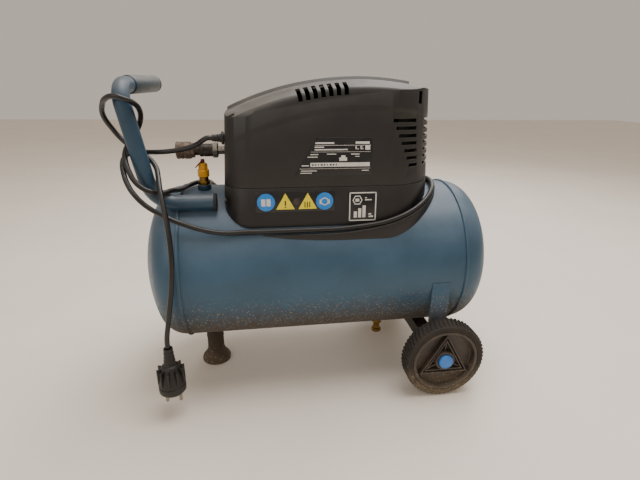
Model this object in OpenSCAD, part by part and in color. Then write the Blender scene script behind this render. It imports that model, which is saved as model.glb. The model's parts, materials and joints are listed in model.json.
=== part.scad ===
// Direct-drive air compressor, 24 litre tank, for Object Factory
// mm, +Z up, floor at Z = 0, tank axis along X, wheels at +X, front is -Y
// origin: on the floor below the middle of the tank

/* [Tank] */
// outside radius of the tank
tank_r = 120; // [100:1:145]
// length of the straight barrel between the two seams
tank_len = 428; // [360:1:510]
// depth of each dished end
head_h = 58; // [48:1:68]
// gap between the tank and the floor
ground_gap = 73; // [60:1:88]
// sheet thickness of the tank
tank_t = 2.4; // [1.5:0.1:4]

/* [Wheels] */
// outside radius of a wheel
wheel_r = 63.5; // [52:0.5:76]
// width of a tyre
wheel_w = 28; // [22:1:34]
// distance of the axle from the middle of the tank
axle_x = 179; // [150:1:200]
// diameter of the axle rod
axle_d = 12; // [9:0.5:14]
// running clearance of wheels on the axle, each side
run_fit = 0.1; // [0.05:0.01:0.2]

/* [Foot] */
// distance of the rubber foot from the middle of the tank
foot_x = 182; // [150:1:200]
// diameter of the foot at the floor
foot_d = 49; // [38:1:60]
// diameter of the foot neck
neck_d = 28; // [22:1:34]

/* [Handle] */
// diameter of the handle tube
bar_d = 22; // [18:1:26]
// height of the grip bar axis above the floor
grip_z = 460; // [430:1:520]
// length of the straight grip
grip_len = 118; // [95:1:145]
// lean of the upright away from vertical, degrees
bar_lean = 10; // [6:1:13]

/* [Shroud] */
// left end of the shroud at its foot, from the middle of the tank
shroud_left = 150; // [125:1:160]
// right end of the shroud at its foot
shroud_right = 176; // [160:1:200]
// half width of the shroud at its foot
shroud_w = 94; // [86:1:98]
// wall thickness of the plastic
wall = 3; // [2:0.1:3.6]
// height of the crown above the tank axis
crown_up = 283; // [276:1:310]
// width of the flange around the foot of the shroud
flange_w = 10; // [8:0.5:13]

/* [Pump] */
// height of the motor shaft above the tank axis
shaft_up = 175; // [172:0.5:180]
// diameter of the motor shaft
shaft_d = 14; // [10:0.5:16]
// crank throw
throw_r = 9; // [7:0.5:10]
// cylinder bore
bore_d = 48; // [40:1:52]
// running clearance of shafts and knobs, each side
shaft_fit = 0.08; // [0.05:0.01:0.15]

/* [Fittings] */
// travel of the coupler sleeve
sleeve_go = 5; // [3:0.5:7]
// lift of the safety valve ring
ring_go = 3; // [2:0.5:4]

/* [Hidden] */
$fn = 64;
gap = 0.3;

// tank
tank_z = tank_r + ground_gap;
seam_x = tank_len / 2;
knuckle = tank_r / 3;
crown_r = ((tank_r - knuckle) * (tank_r - knuckle) + head_h * head_h - knuckle * knuckle)
  / (2 * (head_h - knuckle));
top_z = tank_z + tank_r;

// running gear
strap_t = 4;
strap_y = tank_r + 0.5 - strap_t;
rim_in = strap_y + strap_t + 3;
wheel_y = rim_in + wheel_w / 2;
axle_end = rim_in + wheel_w + 1;
hub_r = 15;
tyre_t = 11;

// handle
bar_r = bar_d / 2;
bend_1 = 40;
bend_2 = 26;
leg_y = 68;
leg_z = tank_z + sqrt((tank_r + bar_r + 0.4) * (tank_r + bar_r + 0.4) - leg_y * leg_y);
leg_x0 = -160;
leg_len = 48;
bend_x = leg_x0 - leg_len;
up_a = 90 - bar_lean;
up_x0 = bend_x - bend_1 * sin(up_a);
up_z0 = leg_z + bend_1 * (1 - cos(up_a));
grip_a = 6;
up_len = (grip_z - bend_2 * cos(bar_lean) - up_z0) / cos(bar_lean);

// shroud
z_foot = tank_z + tank_r + 22;
z_part = tank_z + 135;
z_low = tank_z + 66;
z_high = tank_z + 252;
draft = 12;
z_base = z_low - 20;
z_top = tank_z + crown_up + 8;
crown_R = 446;
crown_x = 55;
crown_z = tank_z + crown_up - crown_R;
flange_r = tank_r + 15;
corner_r = shroud_w - 6;
corner_l = 40;
seam_gap = 0.8;

// pump
shaft_z = tank_z + shaft_up;
deck_z = top_z + 3;
deck_t = 3;
case_x = -35;
case_len = 46;
case_r = 36;
cyl_x = case_x;
cyl_r = 36;
pin_r = 5;
rod_z = shaft_z + 2 * throw_r + pin_r + 3;

// cord route, round numbers, gland to plug
cord_r = 3.5;
rail_y = shroud_w + cord_r + 0.8;
lip_r = shroud_w + 10;
lip_x = shroud_right - 91;
lip_z = tank_z + 70;
lip_R = 356;
end_r = lip_r - cord_r - 1.2;
function lip_top(x) = lip_z + (x > 0 ? lip_R - sqrt(lip_R * lip_R - x * x) : 0);
function lip_lean(x) = x > 0 ? lip_R / sqrt(lip_R * lip_R - x * x) : 1;
function on_lip(x, y) = [x, y, lip_top(x) + cord_r * lip_lean(x) + 0.6 + (x > 45 ? 0 : 1.4)];
route_a = [[-158.1, -48, 392], [-165, -48, 392], [-171, -47, 389], [-180, -44, 383], [-192, -42, 378],
  [-205, -40, 375], [-220, -40, 373], [-236, -39, 372], [-250, -38, 372], [-262, -41, 373],
  [-270, -49, 372], [-274, -60, 368], [-274, -72, 361], [-271, -83, 350], [-266, -91, 338],
  [-257, -97, 324], [-243, -99, 309], [-227, -99, 298], [-213, -100, 290], [-197, -100, 283],
  [-178, -101, 276], [-158, -101, 271], [-140, -101, 269], [-121, -99, 269]];
route_rail = concat([for (x = [-98, -70, -42, -14, 14, 42, 70]) on_lip(x, -rail_y)],
  [for (a = [0:18:180]) on_lip(lip_x + end_r * sin(a), -end_r * cos(a))],
  [for (x = [70, 42, 14, -14, -42, -70, -98, -124]) on_lip(x, rail_y)]);
route_b = [[-150, 92, 279], [-166, 76, 294], [-174, 56, 307], [-178, 36, 314], [-184, 17, 318],
  [-193, 1, 319], [-202, -15, 318], [-207, -33, 318], [-211, -50, 320], [-217, -67, 323],
  [-226, -80, 323], [-237, -87, 326], [-248, -90, 332], [-257, -89, 341], [-264, -84, 354],
  [-269, -75, 367], [-271, -62, 377], [-267, -52, 387], [-258, -48, 400], [-249, -53, 416],
  [-246, -64, 430], [-249, -77, 439], [-257, -86, 444], [-267, -87, 447], [-279, -80, 445],
  [-290, -65, 436], [-295, -51, 421], [-289, -42, 404], [-280, -41, 391], [-265, -47, 379],
  [-247, -52, 368], [-234, -65, 356], [-229, -80, 343], [-226, -93, 331], [-221, -107, 311],
  [-216, -120, 284], [-214, -128, 252], [-216, -132, 218], [-221, -134, 185], [-227, -136, 152],
  [-231, -137, 126], [-231, -137, 115.5]];
route = concat(route_a, route_rail, route_b);
plug_x = -231;
plug_y = -137;
plug_z = 115.5;
gland_z = tank_z + 199;

// sweep
function vlen(v) = sqrt(v * v);
function vunit(v) = v / vlen(v);
function tangent(p, i) = vunit(p[min(i + 1, len(p) - 1)] - p[max(i - 1, 0)]);
function carry(n, t) = vunit(n - (n * t) * t);
function frames(p, i, n) = i >= len(p) ? [] :
  let (m = carry(n, tangent(p, i))) concat([m], frames(p, i + 1, m));
function ring_at(c, t, n, r, k) = let (b = cross(t, n))
  [for (j = [0:k - 1]) c + r * (cos(360 * j / k) * n + sin(360 * j / k) * b)];
module sweep_tube(p, r, k) {
  fr = frames(p, 0, carry([0, 0, 1], tangent(p, 0)));
  n = len(p);
  pts = [for (i = [0:n - 1]) each ring_at(p[i], tangent(p, i), fr[i], r, k)];
  sides = [for (i = [0:n - 2]) for (j = [0:k - 1])
    [i * k + j, i * k + (j + 1) % k, (i + 1) * k + (j + 1) % k, (i + 1) * k + j]];
  start = [for (j = [0:k - 1]) k - 1 - j];
  stop = [for (j = [0:k - 1]) (n - 1) * k + j];
  polyhedron(points = pts, faces = concat([start], sides, [stop]), convexity = 10);
}

// the row's origin: floor, middle of the whole object without its cord
lean_in = sin(grip_a) * cos(bar_lean);
left_end = up_x0 - up_len * sin(bar_lean) - bar_r
  - bend_2 * (norm([lean_in, sin(bar_lean)]) - lean_in);
home_x = -(left_end + seam_x + head_h) / 2;
module home() translate([home_x, 0, 0]) children();

// ---------- helpers ----------
module along_x(x0, x1, r)
  translate([x0, 0, 0]) rotate([0, 90, 0]) cylinder(r = r, h = x1 - x0);
module along_y(y0, y1, r)
  translate([0, y0, 0]) rotate([-90, 0, 0]) cylinder(r = r, h = y1 - y0);
module box(x0, x1, y0, y1, z0, z1)
  translate([x0, y0, z0]) cube([x1 - x0, y1 - y0, z1 - z0]);
module hexagon(w, h)
  cylinder(r = w / sqrt(3), h = h, $fn = 6);
module tank_body(extra)
  translate([-seam_x - 60, 0, tank_z]) rotate([0, 90, 0])
    cylinder(r = tank_r + extra, h = tank_len + 120, $fn = 240);

// ---------- tank ----------
module tank_barrel()
  color("steelblue") home() translate([0, 0, tank_z]) difference() {
    along_x(-seam_x, seam_x, tank_r);
    along_x(-seam_x - 1, seam_x + 1, tank_r - tank_t);
  }
module head_2d(t) {
  intersection() {
    square([tank_r, head_h]);
    union() {
      translate([tank_r - knuckle, 0]) circle(r = knuckle - t);
      intersection() {
        translate([0, head_h - crown_r]) circle(r = crown_r - t, $fn = 160);
        polygon([[0, 0], [tank_r - knuckle, 0],
          [(tank_r - knuckle) * (crown_r + 20) / (crown_r - head_h), head_h + 20], [0, head_h + 20]]);
      }
    }
  }
}
module head_shell()
  rotate_extrude($fn = 96) difference() {
    head_2d(0);
    head_2d(tank_t);
  }
module tank_head_left()
  color("steelblue") home() translate([-seam_x, 0, tank_z]) rotate([0, -90, 0]) head_shell();
module tank_head_right()
  color("steelblue") home() translate([seam_x, 0, tank_z]) rotate([0, 90, 0]) head_shell();
module seam_bead()
  rotate([0, 90, 0]) rotate_extrude($fn = 96) difference() {
    translate([tank_r, 0]) circle(r = 2.5, $fn = 24);
    translate([0, -5]) square([tank_r + 0.1, 10]);
  }
module weld_beads()
  color("steelblue") home() {
    difference() {
      for (x = [3 - seam_x, seam_x - 3]) translate([x, 0, tank_z]) seam_bead();
      translate([leg_x0 + 5, -leg_y, leg_z]) rotate([0, -90, 0]) cylinder(r = bar_r + 0.8, h = 80);
    }
    strap_welds();
    handle_welds();
  }

// ---------- foot ----------
foot_top = tank_z - tank_r - 9;
module foot_socket()
  color("steelblue") home() translate([-foot_x, 0, 0]) difference() {
    translate([0, 0, foot_top]) cylinder(d = neck_d + 6, h = 22);
    translate([foot_x, 0, 0]) tank_body(0);
    translate([0, 0, foot_top - 1]) cylinder(d = 8, h = 6);
  }
module rubber_foot()
  color("dimgray") home() translate([-foot_x, 0, 0]) difference() {
    union() {
      cylinder(d = foot_d, h = 7);
      translate([0, 0, 7]) cylinder(d1 = foot_d, d2 = neck_d, h = 13);
      translate([0, 0, 20]) cylinder(d = neck_d, h = foot_top - 20);
    }
    translate([0, 0, 20]) cylinder(d = 8, h = foot_top);
  }
module foot_stud()
  color("silver") home() translate([-foot_x, 0, 20]) cylinder(d = 8, h = foot_top - 15);

// ---------- axle and wheels ----------
strap_top = tank_z - 14;
strap_w = 29;
module strap_shape()
  translate([axle_x - 6, 0, 0]) difference() {
    union() {
      box(-strap_w / 2, strap_w / 2, 0, strap_t, wheel_r, strap_top);
      translate([6, 0, wheel_r]) along_y(0, strap_t, 15);
      box(-strap_w / 2, 6, 0, strap_t, wheel_r - 15, wheel_r);
    }
    translate([6, 0, wheel_r]) along_y(-1, strap_t + 1, axle_d / 2);
  }
module strap_near()
  color("steelblue") home() difference() {
    translate([0, -strap_y - strap_t, 0]) strap_shape();
    tank_body(0);
  }
module strap_far()
  color("steelblue") home() difference() {
    translate([0, strap_y, 0]) strap_shape();
    tank_body(0);
  }
module strap_weld(y)
  translate([axle_x - 6, y, strap_top]) box(-strap_w / 2, strap_w / 2, -3, 3, 0, 4);
module strap_welds()
  difference() {
    union() {
      strap_weld(-strap_y - 1);
      strap_weld(strap_y + 1);
    }
    tank_body(0.1);
  }
beam = 24;
beam_top = wheel_r + axle_d / 2 + 2;
beam_bottom = wheel_r - 14;
module axle_beam()
  color("dimgray") home() difference() {
    box(axle_x - beam / 2, axle_x + beam / 2, -strap_y, strap_y, beam_bottom, beam_top);
    box(axle_x - beam / 2 + 2, axle_x + beam / 2 - 2, -strap_y - 1, strap_y + 1,
      beam_bottom - 1, beam_top - 2);
  }
module axle_rod()
  color("silver") home() translate([axle_x, 0, wheel_r]) along_y(-axle_end, axle_end, axle_d / 2);
module axle_spacers()
  color("silver") home() for (s = [-1, 1])
    translate([axle_x, s > 0 ? strap_y + strap_t : -strap_y - strap_t - 2.5, wheel_r]) difference() {
      along_y(0, 2.5, axle_d);
      along_y(-1, 4, axle_d / 2);
    }
module tyre()
  difference() {
    along_y(0, wheel_w, wheel_r);
    along_y(-1, wheel_w + 1, wheel_r - tyre_t);
    for (y = [-1, wheel_w - 2.5])
      translate([0, y, 0]) difference() {
        along_y(0, 3.5, wheel_r + 5);
        along_y(-1, 5, wheel_r - 2.5);
      }
  }
module rim()
  difference() {
    union() {
      difference() {
        along_y(1, wheel_w - 1, wheel_r - tyre_t);
        along_y(0, wheel_w / 2 - 3, wheel_r - tyre_t - 5);
        along_y(wheel_w / 2 + 3, wheel_w, wheel_r - tyre_t - 5);
      }
      along_y(0.5, wheel_w - 0.5, hub_r);
      translate([0, 5, 0]) rotate([-90, 0, 0]) rotate([0, 0, -90])
        linear_extrude(wheel_w - 10) difference() {
          circle(r = 42, $fn = 3);
          circle(r = 34, $fn = 3);
        }
    }
    along_y(-1, wheel_w + 1, axle_d / 2 + run_fit);
  }
module cap()
  difference() {
    union() {
      along_y(0, 4, 11.2);
      along_y(-1.2, 0, 10);
    }
    along_y(1.5, 5, axle_d / 2 + 1);
  }
module near_side() translate([axle_x, -rim_in - wheel_w, wheel_r]) children();
module far_side() translate([axle_x, rim_in + wheel_w, wheel_r]) rotate([0, 0, 180]) children();
module tyre_near() color("dimgray") home() near_side() tyre();
module rim_near() color("gray") home() near_side() rim();
module cap_near() color("dodgerblue") home() near_side() translate([0, -3.5, 0]) cap();
module tyre_far() color("dimgray") home() far_side() tyre();
module rim_far() color("gray") home() far_side() rim();
module cap_far() color("dodgerblue") home() far_side() translate([0, -3.5, 0]) cap();

// ---------- drain ----------
drain_x = 112;
module drain_boss()
  color("dimgray") home() difference() {
    translate([drain_x, 0, tank_z - tank_r - 12]) cylinder(d = 24, h = 20);
    tank_body(0);
    translate([drain_x, 0, tank_z - tank_r - 13]) cylinder(d = 12, h = 9);
  }
module drain_body()
  color("goldenrod") home() difference() {
    translate([drain_x, 0, tank_z - tank_r - 30]) {
      cylinder(d = 12, h = 26);
      translate([0, 0, 9]) hexagon(17, 9);
    }
    translate([drain_x, 0, tank_z - tank_r - 31]) cylinder(d = 7 + 2 * shaft_fit, h = 12);
  }
module drain_knob()
  color("goldenrod") home() translate([drain_x, 0, tank_z - tank_r - 40]) {
    cylinder(d = 7, h = 18);
    cylinder(d = 18, h = 5, $fn = 12);
  }

// ---------- safety valve ----------
valve_x = -178;
valve_y = -12;
valve_z = top_z + 6;
module at_valve() translate([valve_x, valve_y, valve_z]) children();
module valve_boss()
  color("steelblue") home() difference() {
    translate([valve_x, valve_y, top_z - 10]) cylinder(d = 20, h = valve_z - top_z + 10);
    tank_body(0);
    at_valve() translate([0, 0, -12]) cylinder(d = 9, h = 13);
  }
module valve_body()
  color("goldenrod") home() difference() {
    at_valve() {
      hexagon(15, 6);
      translate([0, 0, 6]) cylinder(d = 14, h = 6);
      translate([0, 0, -5]) cylinder(d = 9, h = 5);
    }
    at_valve() translate([0, 0, 4]) cylinder(d = 5, h = 13);
  }
module valve_cap()
  color("gold") home() difference() {
    at_valve() translate([0, 0, 12]) {
      cylinder(d = 17, h = 11);
      translate([0, 0, 11]) cylinder(d = 12.5, h = 10);
    }
    at_valve() translate([0, 0, 11]) cylinder(d = 4.4 + 2 * shaft_fit, h = 25);
  }
module valve_ring()
  color("firebrick") home() at_valve() {
    translate([0, 0, 13]) cylinder(d = 4.4, h = 21);
    translate([0, 0, 33.5]) cylinder(d = 6, h = 5);
    translate([0, 0, 37]) rotate([0, -45, 0]) translate([-8, 0, -0.8]) difference() {
      cylinder(d = 17, h = 1.6);
      translate([0, 0, -1]) cylinder(d = 12.6, h = 4);
    }
  }

// ---------- handle ----------
// route of the bar's middle line: leg, bend, upright, bend, grip
bend_steps = 12;
up_dir = [-sin(bar_lean), 0, cos(bar_lean)];
grip_dir = [cos(bar_lean) * sin(grip_a), cos(grip_a), sin(bar_lean) * sin(grip_a)];
up_top = [up_x0, -leg_y, up_z0] + up_len * up_dir;
function low_bend(a) = [bend_x - bend_1 * sin(a), -leg_y, leg_z + bend_1 * (1 - cos(a))];
function top_bend(a) = up_top + bend_2 * ((1 - cos(a)) * grip_dir + sin(a) * up_dir);
bar_route = concat(
  [[leg_x0, -leg_y, leg_z]],
  [for (k = [0:bend_steps]) low_bend(up_a * k / bend_steps)],
  [for (k = [0:bend_steps]) top_bend(90 * k / bend_steps)],
  [top_bend(90) + grip_len * grip_dir]);
module grip_frame()
  translate([up_x0, -leg_y, up_z0]) rotate([0, -bar_lean, 0]) translate([0, 0, up_len])
    rotate([0, 0, 90 - grip_a]) translate([bend_2, 0, bend_2]) rotate([0, 90, 0]) children();
module handle_tube()
  color("steelblue") home() difference() {
    sweep_tube(bar_route, bar_r, 32);
    translate([leg_x0 + 1, -leg_y, leg_z]) rotate([0, -90, 0]) cylinder(r = bar_r - 2, h = leg_len - 3);
    grip_frame() translate([0, 0, 4]) cylinder(r = bar_r - 2, h = grip_len);
  }
seat_y = leg_y * tank_r / (tank_r + bar_r);
seat_z = tank_z + (leg_z - tank_z) * tank_r / (tank_r + bar_r);
module handle_welds()
  difference() {
    translate([leg_x0 - 6, -seat_y, seat_z]) rotate([0, -90, 0]) cylinder(r = 6, h = leg_len - 14);
    translate([leg_x0 + 5, -leg_y, leg_z]) rotate([0, -90, 0]) cylinder(r = bar_r + 0.1, h = 80);
    tank_body(0.1);
  }
module handle_cap()
  color("dimgray") home() difference() {
    translate([leg_x0, -leg_y, leg_z]) rotate([0, 90, 0]) {
      cylinder(r = bar_r + 1.5, h = 4);
      translate([0, 0, -10]) cylinder(r = bar_r - 2, h = 10);
    }
    tank_body(gap);
  }
module grip_sleeve()
  color("gray") home() grip_frame() translate([0, 0, 12]) difference() {
    cylinder(r = bar_r + 1.5, h = grip_len - 12);
    translate([0, 0, -1]) cylinder(r = bar_r, h = grip_len + 2);
  }
module grip_end()
  color("dimgray") home() grip_frame() translate([0, 0, grip_len]) {
    cylinder(r = bar_r + 1.5, h = 3);
    translate([0, 0, -8]) cylinder(r = bar_r - 2, h = 8);
  }

// ---------- deck ----------
deck_l = -118;
deck_r = 122;
deck_w = 66;
module platform()
  color("steelblue") home() difference() {
    union() {
      box(deck_l, deck_r, -deck_w, deck_w, deck_z, deck_z + deck_t);
      for (s = [-1, 1])
        box(deck_l, deck_r, s * (deck_w - 1.5) - 1.5, s * (deck_w - 1.5) + 1.5, tank_z + 80, deck_z);
    }
    tank_body(0);
  }
module mount_spots()
  for (x = [case_x - 14, case_x + 14, 36, 84]) for (y = [-34, 34]) translate([x, y, 0]) children();
module rubber_mounts()
  color("dimgray") home() mount_spots() translate([0, 0, deck_z + deck_t]) cylinder(d = 14, h = 4);

// ---------- shroud ----------
module plan_cols(i, z, d)
  for (s = [-1, 1]) {
    translate([-shroud_left + corner_l, s * (shroud_w - corner_l), z])
      cylinder(r = corner_l - i - d, h = 0.1, $fn = 32);
    translate([shroud_right - corner_r, s * (shroud_w - corner_r), z])
      cylinder(r = corner_r - i - d, h = 0.1, $fn = 48);
  }
module tower(i)
  hull() {
    plan_cols(0, z_base, i);
    plan_cols(draft * (z_top - z_base) / (z_high - z_base), z_top, i);
  }
module roof_2d(i)
  polygon([[0, -100], [crown_R - 44 - i, -100], [crown_R - 14 - i, -79], [crown_R - 6 - i, -60],
    [crown_R - 4 - i, -33], [crown_R - 4 - i, 33], [crown_R - 6 - i, 60], [crown_R - 14 - i, 79],
    [crown_R - 44 - i, 100], [0, 100]]);
module crown_shape(i)
  translate([crown_x, 0, crown_z]) rotate([90, 0, 0]) rotate_extrude($fn = 240) roof_2d(i);
module shroud_shape(i)
  intersection() {
    tower(i);
    crown_shape(i);
  }
spine_end = shroud_right - 48;
module spine()
  intersection() {
    translate([crown_x, 0, crown_z]) rotate([90, 0, 0]) rotate_extrude($fn = 240)
      polygon([[crown_R - 8, -34], [crown_R, -30], [crown_R, 30], [crown_R - 8, 34]]);
    box(-shroud_left + 14, spine_end, -40, 40, z_part + 40, z_high + 60);
  }
lip_tip = -94;
module lip_plan(i, z0, z1)
  translate([0, 0, z0]) linear_extrude(z1 - z0) union() {
    translate([lip_x, 0]) circle(r = lip_r - i, $fn = 96);
    for (s = [-1, 1]) scale([1, s])
      polygon([[lip_x, 0], [lip_tip, 0], [lip_tip, lip_r - 5.4], [lip_tip + 34, lip_r - 2.4],
        [lip_tip + 74, lip_r - 0.6], [lip_tip + 110, lip_r], [lip_x, lip_r]]);
  }
module body_plan(i, z0, z1)
  hull() {
    plan_cols(0, z0, i);
    plan_cols(0, z1, i);
  }
module shroud_base()
  color("dimgray") home() difference() {
    intersection() {
      lip_plan(0, tank_z + 40, top_z + 30);
      union() {
        box(-100, 0.01, -130, 130, tank_z, lip_z);
        difference() {
          box(0, 230, -130, 130, tank_z, top_z + 30);
          translate([0, -140, lip_z + lip_R]) rotate([-90, 0, 0]) cylinder(r = lip_R, h = 280, $fn = 480);
        }
      }
    }
    body_plan(-gap, tank_z + 20, top_z + 40);
    tank_body(gap);
  }
module lower_shell()
  difference() {
    tower(0);
    tower(wall);
    box(-300, 300, -200, 200, z_part, z_top + 50);
    tank_body(1.5);
  }
module slot_y(x0, x1, z, h)
  box(x0, x1, -130, 130, z, z + h);
module shroud_body()
  color("dimgray") home() difference() {
    lower_shell();
    for (x = [-112, 80]) translate([x, 0, z_part - 9]) along_y(20, 120, 2.2);
    for (k = [0:2]) box(-200, -120, -70, -40, z_part - 22 - 9 * k, z_part - 18 - 9 * k);
  }
vents = 7;
vent_z = tank_z + 160;
vent_step = 10.4;
module shoulder_slots()
  for (k = [0:vents - 1]) for (s = [-1, 1])
    translate([crown_x, 0, crown_z]) rotate([0, (-98 + 11 * k) / crown_R * 57.3, 0])
      box(-3, 3, s > 0 ? 64 : -100, s > 0 ? 100 : -64, crown_R - 24, crown_R + 10);
module shroud_cover()
  color("dimgray") home() difference() {
    union() {
      difference() {
        shroud_shape(0);
        shroud_shape(wall);
      }
      difference() {
        spine();
        shroud_shape(wall);
      }
    }
    box(-300, 300, -200, 200, 0, z_part + seam_gap);
    for (k = [0:vents - 1]) {
      slot_y(119 - 4.6 * k, 134 - k, vent_z + vent_step * k, 5);
      box(146, 230, -72, 72, vent_z + vent_step * k, vent_z + vent_step * k + 5);
    }
    shoulder_slots();
    for (s = [-1, 1]) {
      translate([crown_x, 0, crown_z]) rotate([0, -25.2, 0])
        box(-5.5, 5.5, s * 85 - 15, s * 85 + 15, crown_R - 13, crown_R - 9.5);
      box(131, 137, s * 70 - 30, s * 70 + 30, z_high - 5, z_high + 12);
    }
    translate([0, shaft_fit_y, 0]) controls_cut();
    translate([0, coup_y, coup_z]) along_x(-200, -100, 8);
    translate([0, -48, gland_z]) along_x(-200, -100, 6.3);
  }

// ---------- plates on the shroud ----------
side_a = atan(draft / (z_high - z_base));
module on_side(z)
  translate([0, -shroud_w + (z - z_base) * tan(side_a), z]) rotate([-side_a, 0, 0]) children();
module plate(w, h, t)
  translate([0, -t - 0.05, 0]) cube([w, t, h]);
module rating_plate()
  color("black") home() translate([-46, 0, 0]) on_side(tank_z + 151)
    rotate([90, 0, 0]) translate([0, 0, 0.05]) linear_extrude(0.8) polygon([[0, 0], [108, 0], [108, 52], [30, 52]]);
module notice_strip()
  color("gold") home() translate([-102, 0, 0]) on_side(tank_z + 101) plate(112, 29, 0.8);
module noise_plate()
  color("silver") home() translate([30, 0, 0]) on_side(tank_z + 84) plate(42, 44, 0.8);
module cover_screws()
  color("silver") home() for (s = [-1]) for (x = [-112, 80])
    translate([x, 0, z_part - 9]) scale([1, s, 1]) {
      translate([0, -shroud_w + (z_part - 9 - z_base) * tan(side_a), 0]) {
        along_y(-2.4, -0.2, 4);
        along_y(-0.3, 8, 2);
      }
    }

// ---------- motor and pump ----------
module at_shaft() translate([0, 0, shaft_z]) children();
stator_r = 42;
module motor_stator()
  color("silver") home() difference() {
    union() {
      at_shaft() along_x(12, 98, stator_r);
      at_shaft() along_x(6, 12, stator_r + 3);
      at_shaft() along_x(98, 104, stator_r + 3);
      for (x = [30, 78]) box(x, x + 12, -40, 40, deck_z + deck_t + 4, deck_z + deck_t + 12);
    }
    at_shaft() along_x(16, 94, 24);
    at_shaft() along_x(0, 110, shaft_d / 2 + shaft_fit);
  }
module motor_shaft()
  color("gray") home() at_shaft() {
    along_x(case_x + 12, 132, shaft_d / 2);
    along_x(24, 86, 23.4);
  }
module crank()
  color("gray") home() at_shaft() {
    along_x(case_x + 6, case_x + 12, 10);
    intersection() {
      along_x(case_x + 6, case_x + 12, throw_r + pin_r + 3);
      box(case_x, case_x + 20, -9, 9, -30, 0);
    }
    intersection() {
      along_x(case_x + 6, case_x + 12, 26);
      box(case_x, case_x + 20, -30, 30, 4, 40);
    }
    translate([0, 0, -throw_r]) along_x(case_x - 6, case_x + 6, pin_r);
  }
module fan()
  color("black") home() at_shaft() difference() {
    union() {
      along_x(110, 126, 16);
      for (k = [0:6]) rotate([360 / 7 * k, 0, 0])
        translate([118, 0, 14]) rotate([0, 0, 32]) translate([-1.2, -11, 0]) cube([2.4, 22, 34]);
    }
    along_x(100, 130, shaft_d / 2);
  }
module crankcase()
  color("silver") home() difference() {
    union() {
      at_shaft() along_x(case_x - 22, case_x + 26, case_r + 5);
      for (x = [case_x - 20, case_x + 8])
        box(x, x + 12, -42, 42, deck_z + deck_t + 4, deck_z + deck_t + 12);
      translate([cyl_x, 0, shaft_z + 26]) cylinder(r = cyl_r - 4, h = 12);
    }
    box(case_x - 40, case_x + 40, -60, 60, shaft_z + 38, shaft_z + 60);
    at_shaft() along_x(case_x - 18, case_x + 22, case_r);
    at_shaft() along_x(case_x - 30, case_x + 30, shaft_d / 2 + shaft_fit);
    translate([cyl_x, 0, shaft_z]) cylinder(r = bore_d / 2, h = 60);
  }
cyl_z = shaft_z + 38;
cyl_h = 26;
module cylinder_part() {
  cylinder(r = bore_d / 2 + 4, h = cyl_h);
  for (k = [0:4]) translate([0, 0, 1 + 5.3 * k]) cylinder(r = cyl_r, h = 2.2);
}
module cylinder_body()
  difference() {
    cylinder_part();
    translate([0, 0, -1]) cylinder(r = bore_d / 2, h = cyl_h + 2);
  }
module cylinder_node()
  color("silver") home() translate([cyl_x, 0, cyl_z]) cylinder_body();
module piston()
  color("silver") home() translate([cyl_x, 0, rod_z]) {
    cylinder(d = 11, h = 11);
    translate([0, 0, 10]) cylinder(r = bore_d / 2 - shaft_fit, h = 9);
  }
head_z = cyl_z + cyl_h;
module cylinder_head()
  color("silver") home() translate([cyl_x, 0, head_z]) {
    box(-34, 34, -34, 34, 0, 8);
    for (k = [0:5]) box(-32 + 12.4 * k, -30 + 12.4 * k, -32, 32, 8, 13);
  }
module intake_filter()
  color("black") home() translate([cyl_x, 0, head_z + 4]) {
    along_y(34, 37, 4);
    along_y(37, 55, 12);
  }
module discharge_pipe()
  color("orange") home() {
    translate([cyl_x - 20, -34, head_z + 4]) along_y(-14, 0, 4);
    translate([cyl_x - 20, -48, head_z + 4]) sphere(r = 4);
    translate([cyl_x - 20, -48, deck_z + deck_t]) cylinder(r = 4, h = head_z + 4 - deck_z - deck_t);
  }
module capacitor()
  color("white") home() translate([0, 58, deck_z + deck_t + 18]) along_x(16, 76, 14.5);
man_x = -108;
block_y = 56;
module manifold()
  color("silver") home() {
    box(man_x - 12, man_x + 12, -26, 40, coup_z - 13, coup_z + 13);
    box(man_x - 8, man_x + 8, 10, 26, deck_z + deck_t, coup_z - 13);
    box(man_x - 12, man_x + 12, 40, block_y, coup_z - 13, ctl_z + 12);
    box(man_x + 12, switch_x + 12, 47.5, block_y, ctl_z - 12, ctl_z + 12);
  }

// ---------- outlet ----------
coup_y = -15;
coup_z = tank_z + 178;
face_x = -shroud_left + draft * (coup_z - z_base) / (z_high - z_base);
module coupler_body()
  color("silver") home() difference() {
    translate([0, coup_y, coup_z]) {
      along_x(face_x - 12, man_x - 12, 6.5);
      translate([face_x - 19, 0, 0]) rotate([0, 90, 0]) rotate([0, 0, 30]) hexagon(21, 8);
      along_x(face_x - 38, face_x - 18, 9.5);
      along_x(face_x - 68, face_x - 38, 7.5);
    }
    translate([0, coup_y, coup_z]) along_x(face_x - 80, face_x - 30, 4.5);
  }
module coupler_sleeve()
  color("dimgray") home() translate([0, coup_y, coup_z]) difference() {
    union() {
      along_x(face_x - 71, face_x - 50, 12.5);
      along_x(face_x - 50, face_x - 45, 10.8);
    }
    along_x(face_x - 80, face_x - 30, 7.5 + shaft_fit);
  }

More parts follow.
